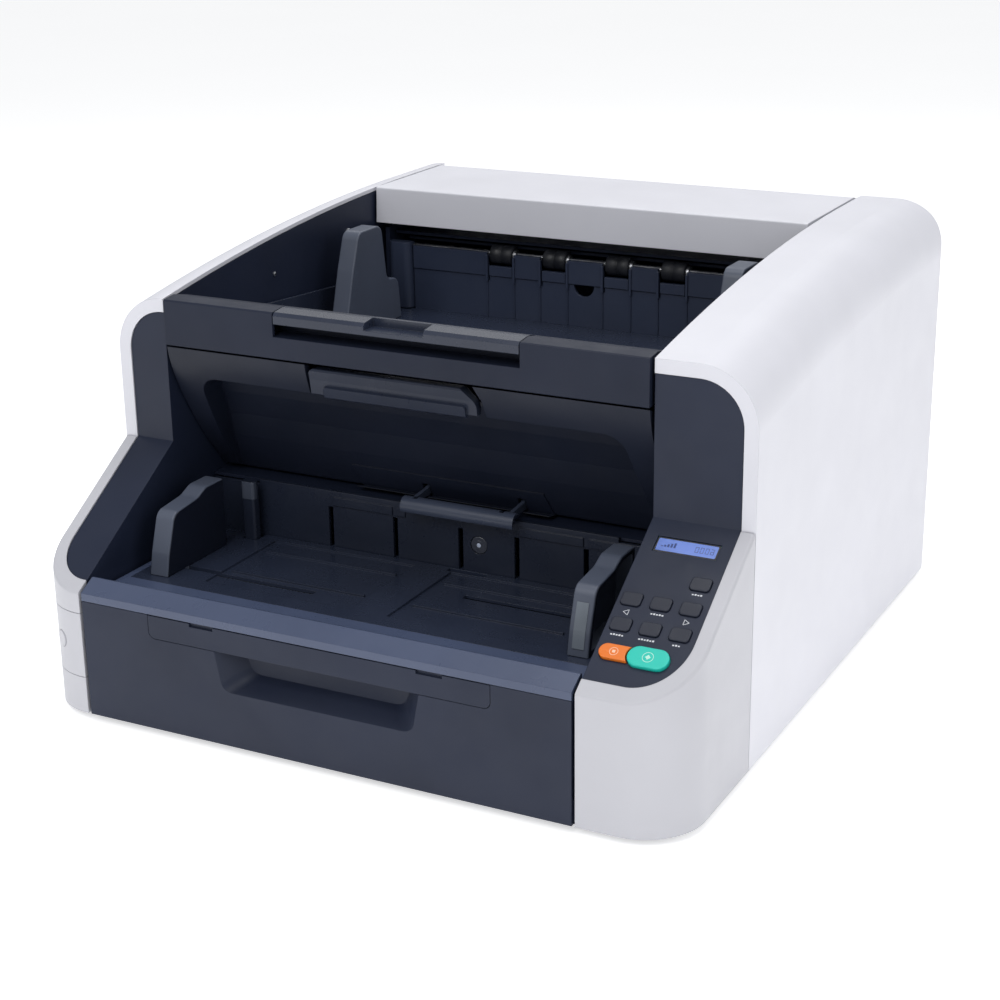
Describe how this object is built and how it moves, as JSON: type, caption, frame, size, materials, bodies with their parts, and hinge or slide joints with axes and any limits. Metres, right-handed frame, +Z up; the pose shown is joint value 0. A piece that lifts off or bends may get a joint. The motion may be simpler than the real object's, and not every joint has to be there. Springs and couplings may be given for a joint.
{
  "type": "sheet fed document scanner",
  "caption": "Desktop sheet fed document scanner: feed tray with sliding guides and lift table at the front, lifting unit with output tray on top, sloped key console.",
  "frame": {"origin": "middle of the footprint, on the surface that the rubber feet stand on", "axes": "+Z up, +X to the operator's right, the front with the feed tray faces -Y"},
  "size_m": [0.5052, 0.552, 0.3165],
  "materials": {
    "shell": "fine moulded texture, light cool white",
    "dark": "fine moulded texture, dark blue grey",
    "guide_grey": "satin moulded blue grey",
    "steel": "plated sheet",
    "aluminium": "extruded",
    "motor": "satin black",
    "gear": "natural acetal",
    "rubber": "ground rubber",
    "glass": "clear strip",
    "board": "solder mask",
    "display": "backlit panel",
    "key": "fine matt",
    "key_orange": "satin",
    "key_green": "satin"
  },
  "bodies": {
    "chassis": {"base_pan": "dark", "rubber_feet": "rubber", "left_side_frame": "steel", "right_side_frame": "steel", "left_side_cover": "shell", "right_side_cover": "shell", "left_front_housing": "shell", "right_front_housing": "shell", "left_corner_cover": "shell", "left_inner_panel": "dark", "right_inner_panel": "dark", "console_board": "display", "front_panel": "dark", "input_tray": "dark", "input_rear_wall": "dark", "rear_cover": "shell", "control_board": "board", "lower_paper_guide": "dark", "lower_camera": "aluminium", "lower_glass": "glass", "drive_motor": "motor", "drive_belt": "rubber", "case_screws": "steel"},
    "unit": {"unit_frame": "dark", "unit_beam": "dark", "unit_fascia": "dark", "output_tray": "dark", "exit_wall": "dark", "top_cover": "shell", "turn_guide": "dark", "upper_camera": "aluminium", "upper_glass": "glass"},
    "latch": {"latch_handle": "dark", "latch_hooks": "steel"},
    "stop_flap": {"stopper_flap": "dark"},
    "out_guide_left": {"output_guide_left": "guide_grey"},
    "out_guide_right": {"output_guide_right": "guide_grey"},
    "out_pinion": {"output_pinion": "gear"},
    "table": {"lift_table": "dark"},
    "in_guide_left": {"input_guide_left": "guide_grey"},
    "in_guide_right": {"input_guide_right": "guide_grey"},
    "in_pinion": {"input_pinion": "gear"},
    "extension": {"tray_extension": "dark"},
    "feed": {"feed_roller": "rubber"},
    "pick_arm": {"pickup_arm": "guide_grey"},
    "pick": {"pickup_roller": "rubber"},
    "exit": {"exit_roller": "rubber"},
    "transport": {"transport_roller": "rubber"},
    "motor_spindle": {"motor_pulley": "aluminium"},
    "retard": {"retard_roller": "rubber"},
    "power_button": {"power_key": "shell"},
    "reset_button": {"reset_key": "key"},
    "back_button": {"back_key": "key"},
    "mode_button": {"mode_key": "key"},
    "next_button": {"next_key": "key"},
    "count_button": {"count_key": "key"},
    "manual_button": {"manual_key": "key"},
    "end_button": {"end_key": "key"},
    "stop_button": {"stop_key": "key_orange"},
    "start_button": {"start_key": "key_green"}
  },
  "joints": [
    {"name": "unit_lift", "type": "hinge", "parent": "chassis", "child": "unit", "pos_m": [0, 0.264, 0.3045], "axis": [-1, 0, 0], "range_deg": [0, 40]},
    {"name": "latch_lift", "type": "hinge", "parent": "unit", "child": "latch", "pos_m": [-0.01505, -0.1108, 0.226], "axis": [-1, 0, 0], "range_deg": [0, 6], "stiffness_Nm_per_rad": 2, "springref_deg": -8.59},
    {"name": "flap_raise", "type": "hinge", "parent": "unit", "child": "stop_flap", "pos_m": [-0.01505, -0.1522, 0.2814], "axis": [1, 0, 0], "range_deg": [0, 95]},
    {"name": "out_guides", "type": "slide", "parent": "unit", "child": "out_guide_left", "axis": [1, 0, 0], "range_m": [0, 0.11]},
    {"name": "out_guide_right_slide", "type": "slide", "parent": "unit", "child": "out_guide_right", "axis": [-1, 0, 0], "range_m": [0, 0.11]},
    {"name": "out_pinion_spin", "type": "hinge", "parent": "unit", "child": "out_pinion", "pos_m": [-0.01505, 0.084, 0.205], "axis": [0, 0, 1], "range_deg": [0, 421]},
    {"name": "table_lift", "type": "slide", "parent": "chassis", "child": "table", "axis": [0, 0, 1], "range_m": [0, 0.03]},
    {"name": "in_guides", "type": "slide", "parent": "table", "child": "in_guide_left", "axis": [1, 0, 0], "range_m": [0, 0.11]},
    {"name": "in_guide_right_slide", "type": "slide", "parent": "table", "child": "in_guide_right", "axis": [-1, 0, 0], "range_m": [0, 0.11]},
    {"name": "in_pinion_spin", "type": "hinge", "parent": "table", "child": "in_pinion", "pos_m": [-0.01505, -0.172, 0.087], "axis": [0, 0, 1], "range_deg": [0, 421]},
    {"name": "extension_pull", "type": "slide", "parent": "chassis", "child": "extension", "axis": [0, -1, 0], "range_m": [0, 0.11]},
    {"name": "feed_spin", "type": "hinge", "parent": "unit", "child": "feed", "pos_m": [-0.01505, -0.066, 0.15105], "axis": [1, 0, 0], "continuous": true},
    {"name": "pick_arm_swing", "type": "hinge", "parent": "unit", "child": "pick_arm", "pos_m": [-0.01505, -0.066, 0.15105], "axis": [-1, 0, 0], "range_deg": [0, 3.5]},
    {"name": "pick_spin", "type": "hinge", "parent": "pick_arm", "child": "pick", "pos_m": [-0.01505, -0.1142, 0.1402], "axis": [1, 0, 0], "continuous": true},
    {"name": "exit_spin", "type": "hinge", "parent": "unit", "child": "exit", "pos_m": [-0.01505, 0.165, 0.265], "axis": [1, 0, 0], "continuous": true},
    {"name": "transport_spin", "type": "hinge", "parent": "chassis", "child": "transport", "pos_m": [-0.01505, -0.035, 0.12945], "axis": [1, 0, 0], "continuous": true},
    {"name": "motor_spin", "type": "hinge", "parent": "chassis", "child": "motor_spindle", "pos_m": [-0.01505, 0.06, 0.062], "axis": [1, 0, 0], "continuous": true},
    {"name": "retard_spin", "type": "hinge", "parent": "chassis", "child": "retard", "pos_m": [-0.01505, -0.066, 0.12845], "axis": [1, 0, 0], "continuous": true},
    {"name": "reset_button_press", "type": "slide", "parent": "chassis", "child": "reset_button", "axis": [0, 0.5411, -0.8409], "range_m": [0, 0.001], "stiffness_N_per_m": 400, "springref_m": -0.001},
    {"name": "back_button_press", "type": "slide", "parent": "chassis", "child": "back_button", "axis": [0, 0.5411, -0.8409], "range_m": [0, 0.001], "stiffness_N_per_m": 400, "springref_m": -0.001},
    {"name": "mode_button_press", "type": "slide", "parent": "chassis", "child": "mode_button", "axis": [0, 0.5411, -0.8409], "range_m": [0, 0.001], "stiffness_N_per_m": 400, "springref_m": -0.001},
    {"name": "next_button_press", "type": "slide", "parent": "chassis", "child": "next_button", "axis": [0, 0.5411, -0.8409], "range_m": [0, 0.001], "stiffness_N_per_m": 400, "springref_m": -0.001},
    {"name": "count_button_press", "type": "slide", "parent": "chassis", "child": "count_button", "axis": [0, 0.5411, -0.8409], "range_m": [0, 0.001], "stiffness_N_per_m": 400, "springref_m": -0.001},
    {"name": "manual_button_press", "type": "slide", "parent": "chassis", "child": "manual_button", "axis": [0, 0.5411, -0.8409], "range_m": [0, 0.001], "stiffness_N_per_m": 400, "springref_m": -0.001},
    {"name": "end_button_press", "type": "slide", "parent": "chassis", "child": "end_button", "axis": [0, 0.5411, -0.8409], "range_m": [0, 0.001], "stiffness_N_per_m": 400, "springref_m": -0.001},
    {"name": "stop_button_press", "type": "slide", "parent": "chassis", "child": "stop_button", "axis": [0, 0.5411, -0.8409], "range_m": [0, 0.001], "stiffness_N_per_m": 400, "springref_m": -0.001},
    {"name": "start_button_press", "type": "slide", "parent": "chassis", "child": "start_button", "axis": [0, 0.5411, -0.8409], "range_m": [0, 0.001], "stiffness_N_per_m": 400, "springref_m": -0.001},
    {"name": "power_button_press", "type": "slide", "parent": "chassis", "child": "power_button", "axis": [0.5, 0.866, 0], "range_m": [0, 0.001], "stiffness_N_per_m": 400, "springref_m": -0.001}
  ],
  "couplings": [
    {"joint": "out_guide_right_slide", "follows": "out_guides", "ratio": 1},
    {"joint": "out_pinion_spin", "follows": "out_guides", "rad_per_m": 66.667},
    {"joint": "in_guide_right_slide", "follows": "in_guides", "ratio": 1},
    {"joint": "in_pinion_spin", "follows": "in_guides", "rad_per_m": 66.667},
    {"joint": "motor_spin", "follows": "transport_spin", "ratio": 1.8696},
    {"joint": "pick_spin", "follows": "feed_spin", "ratio": 1}
  ]
}
